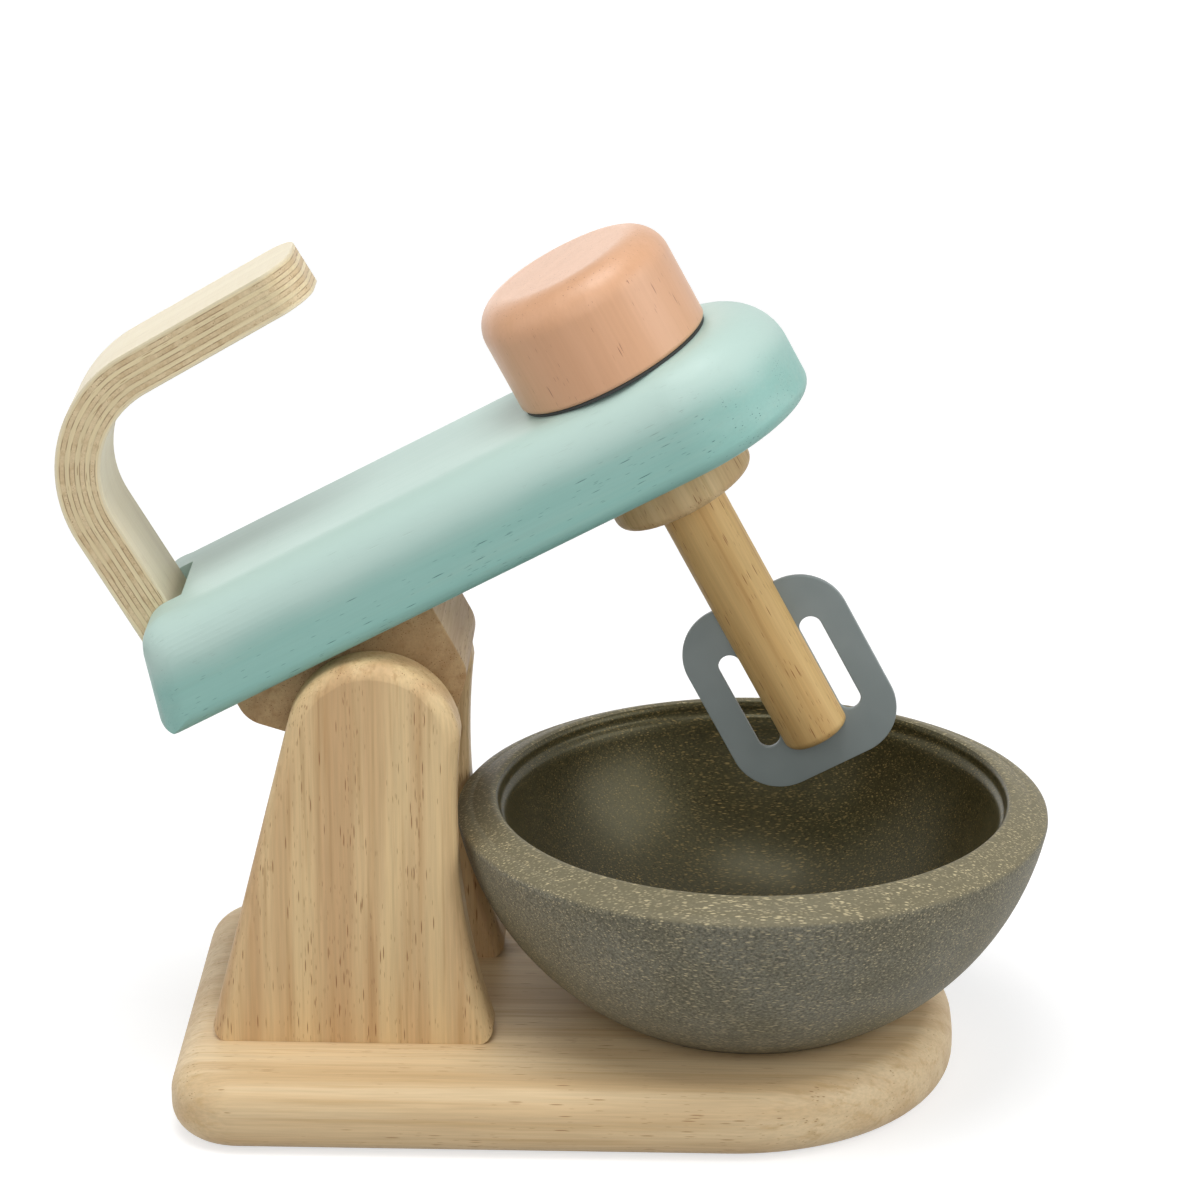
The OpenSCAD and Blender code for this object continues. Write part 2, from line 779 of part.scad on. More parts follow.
module bowl() {
    color("dimgray") translate([bowl_x, 0, base_thick]) rotate_extrude($fn = 180) bowl_section();
}

base_plate();
right_post();
left_post();
post_screws();
pivot_axle();
stop_dowel();
rocker_block();
rocker_peg();
head_body();
head_dowel();
head_socket();
handle();
handle_screws();
knob_washer();
hub_washer();
knob();
spindle();
hub();
hub_socket();
beater_shaft();
beater_peg();
beater_paddle();
bowl();
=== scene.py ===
import json
import math

import bpy
from mathutils import Matrix, Vector


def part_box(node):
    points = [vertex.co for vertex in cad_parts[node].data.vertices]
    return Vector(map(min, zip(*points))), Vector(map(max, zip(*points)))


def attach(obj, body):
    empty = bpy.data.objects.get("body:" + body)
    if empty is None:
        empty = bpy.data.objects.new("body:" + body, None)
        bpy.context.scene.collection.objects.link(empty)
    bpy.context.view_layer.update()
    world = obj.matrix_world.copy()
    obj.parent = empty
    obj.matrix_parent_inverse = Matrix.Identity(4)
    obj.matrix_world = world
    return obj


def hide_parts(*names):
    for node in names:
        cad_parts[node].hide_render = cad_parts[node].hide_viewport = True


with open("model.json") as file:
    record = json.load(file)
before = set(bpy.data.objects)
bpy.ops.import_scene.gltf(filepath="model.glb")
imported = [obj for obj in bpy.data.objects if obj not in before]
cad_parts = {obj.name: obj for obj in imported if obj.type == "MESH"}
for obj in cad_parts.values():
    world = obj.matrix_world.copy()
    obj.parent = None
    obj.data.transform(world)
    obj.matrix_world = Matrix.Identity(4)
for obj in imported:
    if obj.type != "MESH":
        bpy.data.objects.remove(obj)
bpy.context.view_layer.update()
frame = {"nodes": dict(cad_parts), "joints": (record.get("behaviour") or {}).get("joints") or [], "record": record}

# Base board
# A thick rubberwood board, planed and cut to a plan that is square at the rear and round at the front.
# Its edge is rounded all round with a router, and it is finished in clear matt lacquer.


def put(tree, kind, inputs=None, **settings):
    """Adds a shader node, sets it up and feeds its sockets with values or with other nodes' outputs."""
    node = tree.nodes.new(kind)
    for setting, value in settings.items():
        setattr(node, setting, value)
    for socket, value in (inputs or {}).items():
        if isinstance(value, bpy.types.NodeSocket):
            tree.links.new(value, node.inputs[socket])
        else:
            node.inputs[socket].default_value = value
    return node


def calc(tree, operation, *values):
    """The result of one sum on values or sockets."""
    return put(tree, "ShaderNodeMath", dict(enumerate(values)), operation=operation).outputs[0]


def scaled(tree, vector, factors):
    """A place stretched by one factor for each axis."""
    inputs = {0: vector, 1: factors}
    return put(tree, "ShaderNodeVectorMath", inputs, operation="MULTIPLY").outputs[0]


def span(tree, value, low, high, to_low=0.0, to_high=1.0):
    """A value carried smoothly from low and high to to_low and to_high."""
    inputs = {"Value": value, "From Min": low, "From Max": high, "To Min": to_low, "To Max": to_high}
    return put(tree, "ShaderNodeMapRange", inputs, interpolation_type="SMOOTHSTEP").outputs["Result"]


def noise(tree, place, per_metre, detail=2.0, roughness=0.5):
    """A soft cloud value, with its number of clouds per metre along each axis."""
    stretched = scaled(tree, place, per_metre)
    inputs = {"Vector": stretched, "Scale": 1.0, "Detail": detail, "Roughness": roughness}
    return put(tree, "ShaderNodeTexNoise", inputs).outputs["Fac"]


def tint(tree, share, first, second, way="MIX"):
    """Two colours, as values or sockets, mixed by a share."""
    node = put(tree, "ShaderNodeMix", {0: share}, data_type="RGBA", blend_type=way, clamp_factor=True)
    for socket, colour in ((6, first), (7, second)):
        if isinstance(colour, bpy.types.NodeSocket):
            tree.links.new(colour, node.inputs[socket])
        else:
            node.inputs[socket].default_value = (*colour, 1.0)
    return node.outputs[2]


def shaded(tree, colour, shade):
    """A colour made darker or lighter by a factor."""
    grey = put(tree, "ShaderNodeCombineColor", {0: shade, 1: shade, 2: shade}).outputs[0]
    return tint(tree, 1.0, colour, grey, "MULTIPLY")


def grain_group():
    """Rubberwood in the grain's own frame, in metres, with X along the grain: soft bands and growth rings,
    fine fibres, and pores that show as short dashes along the grain and as dots on the end grain."""
    group = bpy.data.node_groups.new("rubberwood_grain", "ShaderNodeTree")
    group.interface.new_socket("Place", in_out="INPUT", socket_type="NodeSocketVector")
    for name in ("Pore Share", "Pore Width"):
        group.interface.new_socket(name, in_out="INPUT", socket_type="NodeSocketFloat")
    for name in ("Bands", "Streaks", "Fibres", "Pores", "Height"):
        group.interface.new_socket(name, in_out="OUTPUT", socket_type="NodeSocketFloat")
    given = put(group, "NodeGroupInput").outputs
    place = given["Place"]

    # Growth rings about a pith that lies well outside the piece, bent by slow noise
    pith = put(group, "ShaderNodeVectorMath", {0: place, 1: (0.0, 0.11, 0.07)}, operation="ADD").outputs[0]
    across = scaled(group, pith, (0.0, 1.0, 1.0))
    radius = put(group, "ShaderNodeVectorMath", {0: across}, operation="LENGTH").outputs["Value"]
    drift = noise(group, place, (5.0, 60.0, 60.0), 4.0)
    turns = calc(group, "ADD", calc(group, "MULTIPLY", radius, 700.0), calc(group, "MULTIPLY", drift, 16.0))
    rings = span(group, calc(group, "SINE", turns), -1.0, 1.0)
    clouds = noise(group, place, (3.0, 60.0, 60.0), 3.0, 0.55)
    bands = calc(group, "ADD", calc(group, "MULTIPLY", rings, 0.12), calc(group, "MULTIPLY", clouds, 0.88))

    # Narrow streaks, and fibres a few tenths of a millimetre wide
    streaks = noise(group, place, (13.0, 480.0, 480.0), 3.0, 0.6)
    fibres = noise(group, place, (45.0, 1500.0, 1500.0), 3.0, 0.6)

    # Pores in two sizes, crowded in some growth rings and missing in others
    crowd = span(group, noise(group, place, (9.0, 170.0, 170.0)), 0.35, 0.7)
    width = given["Pore Width"]
    core = calc(group, "MULTIPLY", width, 0.45)
    pores = None
    for cells, limit in (((95.0, 1300.0, 1300.0), 1.0), ((210.0, 2300.0, 2300.0), 0.7)):
        inputs = {"Vector": scaled(group, place, cells), "Scale": 1.0}
        cell = put(group, "ShaderNodeTexVoronoi", inputs).outputs
        shape = span(group, cell["Distance"], width, core, 0.0, limit)
        luck = put(group, "ShaderNodeSeparateColor", {0: cell["Color"]}).outputs[0]
        chosen = calc(group, "LESS_THAN", luck, calc(group, "MULTIPLY", given["Pore Share"], crowd))
        layer = calc(group, "MULTIPLY", shape, chosen)
        pores = layer if pores is None else calc(group, "MAXIMUM", pores, layer)

    height = calc(group, "SUBTRACT", calc(group, "MULTIPLY", fibres, 0.35), pores)
    results = {"Bands": bands, "Streaks": streaks, "Fibres": fibres, "Pores": pores, "Height": height}
    put(group, "NodeGroupOutput", results)
    return group


rubberwood_grain = grain_group()


def new_finish(name):
    """A fresh material, with its node tree and its surface shader."""
    material = bpy.data.materials.new(name)
    material.use_nodes = True
    return material, material.node_tree, material.node_tree.nodes["Principled BSDF"]


def own_place(tree):
    """The place on a piece, in the piece's own frame."""
    return put(tree, "ShaderNodeTexCoord").outputs["Object"]


def grain_frame(tree, turn, shift):
    """The place on a piece, turned so that X runs along the grain and shifted to its own bit of a plank."""
    inputs = {"Vector": own_place(tree), "Location": shift, "Rotation": turn}
    return put(tree, "ShaderNodeMapping", inputs, vector_type="TEXTURE").outputs[0]


def wood_grain(tree, place, pore_share, pore_width=0.23):
    """The grain at a place, with a share of pores and their width."""
    inputs = {"Place": place, "Pore Share": pore_share, "Pore Width": pore_width}
    return put(tree, "ShaderNodeGroup", inputs, node_tree=rubberwood_grain)


def wood_colour(tree, grain, pale, warm, streak, pore, drawn=1.0):
    """Wood between a pale and a warm tone, with streaks and fibres more or less drawn in, and dark pores."""
    bands = tint(tree, span(tree, grain["Bands"], 0.34, 0.66), pale, warm)
    streaked = tint(tree, span(tree, grain["Streaks"], 0.48, 0.76, 0.0, 0.75 * drawn), bands, streak)
    shade = span(tree, grain["Fibres"], 0.3, 0.7, 1.0 + 0.05 * drawn, 1.0 - 0.07 * drawn)
    fibrous = shaded(tree, streaked, shade)
    return tint(tree, calc(tree, "MULTIPLY", grain["Pores"], 0.85), fibrous, pore)


def emboss(tree, shader, strength, depth, height):
    """Gives a surface the fine relief of a height value, with its depth in metres."""
    inputs = {"Strength": strength, "Distance": depth, "Height": height}
    tree.links.new(put(tree, "ShaderNodeBump", inputs).outputs[0], shader.inputs["Normal"])


def wood(name, turn, shift, tones, pore_share, stained=False, coat=0.0):
    """Rubberwood under matt lacquer, or stained first, which leaves less of its grain to be seen.
    The tones are pale, warm, streak and pore."""
    pore_width, drawn, shine = (0.2, 0.3, 0.4) if stained else (0.23, 1.0, 0.25)
    material, tree, shader = new_finish(name)
    grain = wood_grain(tree, grain_frame(tree, turn, shift), pore_share, pore_width)
    colour = wood_colour(tree, grain.outputs, *tones, drawn)
    tree.links.new(colour, shader.inputs["Base Color"])
    shader.inputs["Specular IOR Level"].default_value = shine
    shader.inputs["Coat Weight"].default_value = coat
    shader.inputs["Coat Roughness"].default_value = 0.4
    gloss = span(tree, grain.outputs["Fibres"], 0.3, 0.7, 0.44, 0.56)
    tree.links.new(gloss, shader.inputs["Roughness"])
    emboss(tree, shader, strength=0.35, depth=0.0002, height=grain.outputs["Height"])
    return material


WELD = 2e-6  # vertices nearer than this are one


def finished(node, material, ease=0.0, steps=3, reshape=None, smooth=32.0):
    """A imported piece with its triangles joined, its sharp edges eased by sanding and its finish on.
    Edges under the smooth angle, in degrees, are shaded soft."""
    flat, sharp = math.radians(0.4), math.radians(32.0)
    bpy.ops.object.select_all(action="DESELECT")
    piece = bpy.data.objects.new(node + "_finished", frame["nodes"][node].data.copy())
    bpy.context.scene.collection.objects.link(piece)
    piece.select_set(True)
    bpy.context.view_layer.objects.active = piece
    bpy.ops.mesh.customdata_custom_splitnormals_clear()
    bpy.ops.object.mode_set(mode="EDIT")
    bpy.ops.mesh.select_all(action="SELECT")
    bpy.ops.mesh.remove_doubles(threshold=WELD)
    bpy.ops.mesh.dissolve_limited(angle_limit=flat)
    bpy.ops.object.mode_set(mode="OBJECT")
    if reshape:
        reshape(piece)
    if ease:
        easing = piece.modifiers.new("eased", "BEVEL")
        easing.width = ease
        easing.segments = steps
        easing.limit_method = "ANGLE"
        easing.angle_limit = sharp
        bpy.ops.object.modifier_apply(modifier="eased")
    bpy.ops.object.shade_smooth_by_angle(angle=math.radians(smooth))
    weighted = piece.modifiers.new("even_shading", "WEIGHTED_NORMAL")
    weighted.keep_sharp = True
    bpy.ops.object.modifier_apply(modifier="even_shading")
    piece.data.materials.clear()
    piece.data.materials.append(material)
    bodies = frame["record"]["behaviour"]["bodies"]
    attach(piece, next(body for body, nodes in bodies.items() if node in nodes))
    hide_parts(node)


base_tones = (0.76, 0.59, 0.36), (0.655, 0.47, 0.26), (0.6, 0.41, 0.2), (0.37, 0.19, 0.075)
base_wood = wood("base_wood", (0.0, 0.0, 0.0), (0.03, 0.0, 0.02), base_tones, pore_share=0.45)
finished("base_plate", base_wood)

# Side posts
# Two thick rubberwood boards with a round top, a straight slanted back and a hollow front flank.
# The grain stands upright, the edges are sanded soft, and two screws hold each post from below.

UPRIGHT = (0.0, -math.pi / 2, 0.0)
post_tones = (0.75, 0.56, 0.305), (0.61, 0.405, 0.21), (0.5, 0.3, 0.135), (0.29, 0.125, 0.045)
for post, shift in (("right_post", (0.0, -0.02, 0.0)), ("left_post", (0.2, 0.05, 0.1))):
    post_wood = wood(post + "_wood", UPRIGHT, shift, post_tones, pore_share=1.2)
    finished(post, post_wood, ease=0.0014, steps=4)

# Pivot axle and stop dowel
# Plain ready-made dowels, glued into blind holes in both posts. The rocker turns on the upper one,
# and the lower one stops it when the head comes down level.

CROSSWISE = (0.0, 0.0, math.pi / 2)
dowel_tones = (0.62, 0.45, 0.25), (0.54, 0.36, 0.18), (0.48, 0.3, 0.14), (0.27, 0.12, 0.045)
dowel_wood = wood("dowel_wood", CROSSWISE, (0.1, 0.3, 0.0), dowel_tones, pore_share=0.6)
for dowel in ("pivot_axle", "stop_dowel"):
    finished(dowel, dowel_wood, ease=0.0004)

# Rocker
# A block cut across the plank, so that its end grain shows at both sides, with 45 degree cuts below.
# A dome-ended nylon peg stands in its top, and the head's dowel goes into the hole behind the peg.

rocker_tones = (0.52, 0.36, 0.19), (0.43, 0.28, 0.14), (0.37, 0.22, 0.1), (0.2, 0.09, 0.035)
rocker_wood = wood("rocker_wood", CROSSWISE, (0.07, 0.2, 0.05), rocker_tones, pore_share=1.2)
finished("rocker_block", rocker_wood, ease=0.002, steps=4)


def nylon_finish():
    """Natural nylon: milky, a little see-through at its edges, with a dull moulded skin."""
    material, tree, shader = new_finish("milky_nylon")
    cloud = noise(tree, own_place(tree), (420.0, 420.0, 420.0))
    milk = tint(tree, span(tree, cloud, 0.3, 0.7), (0.78, 0.8, 0.78), (0.86, 0.87, 0.85))
    tree.links.new(milk, shader.inputs["Base Color"])
    tree.links.new(span(tree, cloud, 0.3, 0.7, 0.28, 0.4), shader.inputs["Roughness"])
    shader.inputs["Subsurface Weight"].default_value = 0.35
    shader.inputs["Subsurface Radius"].default_value = (0.003, 0.003, 0.003)
    return material


milky_nylon = nylon_finish()
finished("rocker_peg", milky_nylon)

# Head
# A long bar with a round nose and a leaning rear end, its upper edges rounded by a large cutter.
# It is stained a thin mint green that lets the grain show, and a notch at the rear takes the handle.

joints = {joint["name"]: joint for joint in frame["joints"]}
head_up = Vector(joints["head_lift"]["axis"])
tilt = math.atan2(-head_up.x, head_up.z)
ALONG_HEAD = (0.0, -tilt, 0.0)
pivot = Vector(joints["head_tilt"]["pos_m"])
head_top = 0.052  # above the pivot


def softer_top(piece):
    """Shapes the head's upper edges: a soft quarter ellipse along both sides, which leaves the top nearly
    flat as far as the knob's foot, and a larger round at the leaning rear end and over its two corners.
    The nose keeps its quarter circle."""
    edge_r, roll_width, roll_height = 0.014, 0.0105, 0.0125
    rear_x, low_z, lean = -0.0477, 0.024, math.radians(16.0)
    cut_r, soft_r, corner_r = 0.005, 0.009, 0.009
    fade_start, fade_length = 0.02, 0.03
    on_surface, weld, tiny, mm = 0.00015, 2e-5, 1e-6, 0.001
    cuts = 0.5, 1.0, 1.6, 2.3, 3.0, 4.0, 5.0, 6.2, 7.6, 9.5, 12.5, 17.0, 24.0, 36.0, 55.0
    level = Matrix.Rotation(tilt, 3, "Y")
    places = [level @ (vertex.co - pivot) for vertex in piece.data.vertices]
    half = max(place.y for place in places)
    top = max(place.z for place in places)
    nose_x = max(place.x for place in places) - half
    rear = pivot + level.transposed() @ Vector((rear_x, 0.0, low_z))
    ahead = level.transposed() @ Vector((math.cos(lean), 0.0, -math.sin(lean)))
    lean_up = level.transposed() @ Vector((math.tan(lean), 0.0, 1.0))

    def side_height(gap):
        """Height of the soft side edge at a gap from the side."""
        inner = max(1.0 - gap / roll_width, 0.0)
        return top - roll_height * (1.0 - math.sqrt(max(1.0 - inner**2, 0.0)))

    def rear_height(distance, r):
        """Height of the rear upper edge at a distance from the rear face, with a round of radius r."""
        left = max(r - max(distance, 0.0), r * math.sin(lean))
        return top - r + left * math.sin(lean) + math.sqrt(r**2 - left**2) * math.cos(lean)

    # Rows of edges along the rear face, for the rounds to bend at
    bpy.ops.object.mode_set(mode="EDIT")
    for cut in cuts:
        bpy.ops.mesh.select_all(action="SELECT")
        bpy.ops.mesh.bisect(plane_co=rear + mm * cut * ahead, plane_no=ahead)
    bpy.ops.object.mode_set(mode="OBJECT")

    # How far each vertex of the old rounds moves, upwards or along the leaning rear face
    shifts = {
        "raised": (head_up, edge_r),
        "raised_rear": (lean_up, edge_r),
        "sunk_rear": (lean_up, -edge_r),
    }
    groups = {name: piece.vertex_groups.new(name=name) for name in shifts}
    for vertex in piece.data.vertices:
        place = level @ (vertex.co - pivot)
        distance = (place.x - rear_x) * math.cos(lean) - (place.z - low_z) * math.sin(lean)
        reach = max(math.hypot(max(place.x - nose_x, 0.0), place.y), tiny)
        outer = max(1.0 - (half - reach) / edge_r, 0.0)
        drop = edge_r * (1.0 - math.sqrt(max(1.0 - outer**2, 0.0)))
        share = (place.y / reach) ** 2
        side_z = (1.0 - share) * (top - drop) + share * side_height(half - reach)
        cut_z = min(top - drop, rear_height(distance, cut_r))
        soft_z = min(side_z, rear_height(distance, soft_r))
        corner = Vector((corner_r - distance, abs(place.y) - half + corner_r))
        if min(corner) > 0.0:
            gap = corner_r - corner.length
            share = (corner.y / corner.length) ** 2
            soft_z = (1.0 - share) * rear_height(gap, soft_r) + share * side_height(gap)
        if abs(place.z - cut_z) < on_surface or place.z > soft_z:
            rise = (soft_z - place.z) / edge_r
            far = min(max((distance - fade_start) / fade_length, 0.0), 1.0)
            groups["raised"].add([vertex.index], max(rise, 0.0) * far, "REPLACE")
            groups["raised_rear"].add([vertex.index], max(rise, 0.0) * (1.0 - far), "REPLACE")
            groups["sunk_rear"].add([vertex.index], max(-rise, 0.0), "REPLACE")
    for name, (way, length) in shifts.items():
        for axis, part in (("X", way.x), ("Z", way.z)):
            shift = piece.modifiers.new("shift", "DISPLACE")
            shift.direction = axis
            shift.vertex_group = name
            shift.mid_level = 0.0
            shift.strength = part * length
            bpy.ops.object.modifier_apply(modifier="shift")
    piece.vertex_groups.clear()

    # Faces that have shrunk to nothing go
    bpy.ops.object.mode_set(mode="EDIT")
    bpy.ops.mesh.select_all(action="SELECT")
    bpy.ops.mesh.remove_doubles(threshold=weld)
    bpy.ops.mesh.dissolve_degenerate(threshold=weld)
    bpy.ops.object.mode_set(mode="OBJECT")


mint_tones = (0.3, 0.52, 0.468), (0.257, 0.489, 0.437), (0.335, 0.484, 0.42), (0.04, 0.13, 0.13)
mint_shift = (0.02, 0.03, 0.0)
mint_wood = wood("mint_wood", ALONG_HEAD, mint_shift, mint_tones, pore_share=0.75, stained=True, coat=0.2)


def paint_light_on_top(material, tone):
    """Paints light on the head: the colour turns paler on the top and over its upper edges, a painted sheen and
    light from above.
    """
    fade_low, fade_high, sway, most = 0.014, 0.002, 0.008, 0.9
    tree = material.node_tree
    shader = tree.nodes["Principled BSDF"]
    full = shader.inputs["Base Color"].links[0].from_socket
    own = own_place(tree)
    inputs = {0: own, 1: head_up}
    height = put(tree, "ShaderNodeVectorMath", inputs, operation="DOT_PRODUCT").outputs["Value"]
    top = head_up.dot(pivot) + head_top
    waver = noise(tree, own, (25.0, 25.0, 25.0))
    wavy = calc(tree, "ADD", height, calc(tree, "MULTIPLY", waver, sway))
    painted_top_light = span(tree, wavy, top - fade_low, top - fade_high, 0.0, most)
    tree.links.new(tint(tree, painted_top_light, full, tone), shader.inputs["Base Color"])


# The pale tone is painted light on the head's top and upper edges.
paint_light_on_top(mint_wood, (0.485, 0.635, 0.58))
finished("head_body", mint_wood, reshape=softer_top, smooth=60.0)
UP_FROM_HEAD = (0.0, -tilt - math.pi / 2, 0.0)
locator_wood = wood("locator_wood", UP_FROM_HEAD, (0.3, 0.1, 0.0), dowel_tones, pore_share=0.6)
finished("head_dowel", locator_wood)
finished("head_socket", milky_nylon, ease=0.0002)

# Handle
# Beech veneers glued crosswise in a bent press, so that the layers follow the bend at both sides.
# Its leg stands in the head's notch and two screws hold it there from below.


def plywood_finish():
    """Bent plywood: the depth below the outer veneer tells the layer, the length along the bend the grain."""
    bend_r, bend_start, lean = 0.036, 0.024, math.radians(2.5)
    thickness, layers, sway, margin = 0.0115, 9, 0.3, 0.01
    long_tones = (0.83, 0.72, 0.475), (0.74, 0.62, 0.38), (0.66, 0.52, 0.3), (0.36, 0.22, 0.1)
    cross_tones = (0.72, 0.58, 0.36), (0.63, 0.485, 0.285), (0.53, 0.385, 0.205), (0.27, 0.14, 0.06)
    glue_tone, veneer_tone = (0.3, 0.19, 0.1), (0.77, 0.695, 0.525)
    rear_low = Vector((-0.0437, 0.0, head_top))
    foot = pivot + Matrix.Rotation(-tilt, 3, "Y") @ rear_low

    material, tree, shader = new_finish("bent_plywood")
    inputs = {"Vector": own_place(tree), "Location": foot, "Rotation": (0.0, -tilt - lean, 0.0)}
    local = put(tree, "ShaderNodeMapping", inputs, vector_type="TEXTURE").outputs[0]
    axes = put(tree, "ShaderNodeSeparateXYZ", {0: local}).outputs

    # Depth below the outer veneer, and length along leg, bend and grip
    before = calc(tree, "MAXIMUM", calc(tree, "SUBTRACT", bend_r, axes["X"]), 0.0)
    above = calc(tree, "MAXIMUM", calc(tree, "SUBTRACT", axes["Z"], bend_start), 0.0)
    squares = calc(tree, "ADD", calc(tree, "POWER", before, 2.0), calc(tree, "POWER", above, 2.0))
    depth = calc(tree, "SUBTRACT", bend_r, calc(tree, "SQRT", squares))
    turned = calc(tree, "MULTIPLY", calc(tree, "ARCTAN2", above, before), bend_r)
    leg = calc(tree, "MINIMUM", axes["Z"], bend_start)
    grip = calc(tree, "MAXIMUM", calc(tree, "SUBTRACT", axes["X"], bend_r), 0.0)
    length = calc(tree, "ADD", calc(tree, "ADD", leg, turned), grip)
    along = put(tree, "ShaderNodeCombineXYZ", {0: length, 1: axes["Y"], 2: depth}).outputs[0]
    crossed = put(tree, "ShaderNodeCombineXYZ", {0: axes["Y"], 1: length, 2: depth}).outputs[0]

    # The layer, its number and the place inside it, with layers that waver a little
    waver = calc(tree, "MULTIPLY", noise(tree, along, (60.0, 60.0, 60.0)), sway)
    level = calc(tree, "ADD", calc(tree, "MULTIPLY", depth, layers / thickness), waver)
    level = calc(tree, "MAXIMUM", calc(tree, "SUBTRACT", level, sway / 2), margin)
    level = calc(tree, "MINIMUM", level, layers - margin)
    index = calc(tree, "FLOOR", level)
    inside = calc(tree, "FRACT", level)
    odd = calc(tree, "GREATER_THAN", calc(tree, "FRACT", calc(tree, "MULTIPLY", index, 0.5)), 0.25)

    # Layers with the grain along and across in turn, glue lines between them, and a pale veneer outside
    colours = []
    for place, tones, pore_share in ((along, long_tones, 0.5), (crossed, cross_tones, 1.4)):
        grain = wood_grain(tree, place, pore_share)
        colours.append(wood_colour(tree, grain.outputs, *tones))
        fibres = grain.outputs["Fibres"]
    layered = tint(tree, odd, colours[0], colours[1])
    edge = calc(tree, "MINIMUM", inside, calc(tree, "SUBTRACT", 1.0, inside))
    broken = span(tree, noise(tree, along, (220.0, 220.0, 60.0)), 0.4, 0.6, 0.2, 0.8)
    cover = calc(tree, "MINIMUM", level, calc(tree, "SUBTRACT", layers, level))
    buried = calc(tree, "GREATER_THAN", cover, 0.5)
    glue = calc(tree, "MULTIPLY", span(tree, edge, 0.16, 0.05), calc(tree, "MULTIPLY", broken, buried))
    veneer = calc(tree, "SUBTRACT", 1.0, buried)
    glued = tint(tree, glue, layered, glue_tone)
    veneered = tint(tree, calc(tree, "MULTIPLY", veneer, 0.65), glued, veneer_tone)
    tree.links.new(veneered, shader.inputs["Base Color"])
    tree.links.new(span(tree, fibres, 0.3, 0.7, 0.5, 0.62), shader.inputs["Roughness"])
    shader.inputs["Specular IOR Level"].default_value = 0.25
    shader.inputs["Coat Weight"].default_value = 0.5
    shader.inputs["Coat Roughness"].default_value = 0.45
    emboss(tree, shader, strength=0.3, depth=0.0002, height=calc(tree, "SUBTRACT", fibres, glue))
    return material


finished("handle", plywood_finish(), ease=0.0016, steps=4)

# Washers
# Two thin washers, stamped from dull fibre, that lie loose on the spindle above and below the head. They let the
# knob and the hub turn against it. Their near-black tone is painted shade for the shadowed gaps under the knob and
# over the hub, and each shows as a dark line.


def washer_finish():
    """Pressed fibre with a faint speckle, near-black: painted shade for the gap each washer lies in."""
    material, tree, shader = new_finish("dark_fibre")
    speckle = noise(tree, own_place(tree), (1500.0, 1500.0, 1500.0), 3.0)
    speckled = tint(tree, speckle, (0.012, 0.014, 0.013), (0.04, 0.042, 0.04))
    tree.links.new(speckled, shader.inputs["Base Color"])
    tree.links.new(span(tree, speckle, 0.3, 0.7, 0.6, 0.75), shader.inputs["Roughness"])
    return material


dark_fibre = washer_finish()
for ring in ("knob_washer", "hub_washer"):
    finished(ring, dark_fibre, ease=0.0001, steps=2)

# Knob, spindle and hub
# Turned from rubberwood with the grain upright. The peach-stained knob and the plain hub are glued to
# the two ends of a spindle that goes through the head, with a nylon socket for the beater inside.


def clear_of_washer(piece):
    """Lifts the knob off its washer by a hair, so that it turns without rubbing."""
    hair = 0.00003
    bpy.ops.object.mode_set(mode="EDIT")
    bpy.ops.mesh.select_all(action="SELECT")
    bpy.ops.transform.translate(value=hair * head_up)
    bpy.ops.object.mode_set(mode="OBJECT")


peach_tones = (0.66, 0.36, 0.2), (0.62, 0.33, 0.175), (0.59, 0.305, 0.155), (0.26, 0.09, 0.035)
peach_shift = (0.1, 0.02, 0.03)
peach_wood = wood(
    "peach_wood", UP_FROM_HEAD, peach_shift, peach_tones, pore_share=0.6, stained=True, coat=0.75
)
finished("knob", peach_wood, reshape=clear_of_washer)
hub_tones = (0.62, 0.46, 0.25), (0.52, 0.36, 0.18), (0.43, 0.29, 0.125), (0.235, 0.11, 0.036)
hub_wood = wood("hub_wood", UP_FROM_HEAD, (0.2, 0.07, 0.02), hub_tones, pore_share=1.2)
finished("hub", hub_wood, ease=0.0003)
finished("spindle", locator_wood, ease=0.0003)
finished("hub_socket", milky_nylon, ease=0.0002)

# Beater
# A round-ended dowel, slit from below for a stamped sheet paddle with two long slots. A nylon ball peg
# in its upper end snaps into the hub's socket.

beater_tones = (0.68, 0.47, 0.2), (0.57, 0.36, 0.14), (0.48, 0.28, 0.1), (0.26, 0.1, 0.03)
beater_wood = wood("beater_wood", UP_FROM_HEAD, (0.35, 0.02, 0.06), beater_tones, pore_share=1.1)
finished("beater_shaft", beater_wood, ease=0.0003)
finished("beater_peg", milky_nylon)


def sheet_finish():
    """Grey powder-coated sheet: satin, with a very fine orange peel."""
    material, tree, shader = new_finish("grey_sheet")
    own = own_place(tree)
    peel = noise(tree, own, (2200.0, 2200.0, 2200.0), 3.0)
    cloud = noise(tree, own, (60.0, 60.0, 60.0))
    grey = tint(tree, span(tree, cloud, 0.3, 0.7), (0.22, 0.255, 0.25), (0.25, 0.285, 0.28))
    tree.links.new(grey, shader.inputs["Base Color"])
    tree.links.new(span(tree, peel, 0.3, 0.7, 0.4, 0.52), shader.inputs["Roughness"])
    emboss(tree, shader, strength=0.2, depth=0.00006, height=peel)
    return material


finished("beater_paddle", sheet_finish(), ease=0.00035, steps=2)

# Bowl
# Pressed from dark wood fibre with pale flecks, then turned: a wide rim that slopes outwards, a soft
# step just inside it, and a satin-smooth inside. It stands loose on the base board.


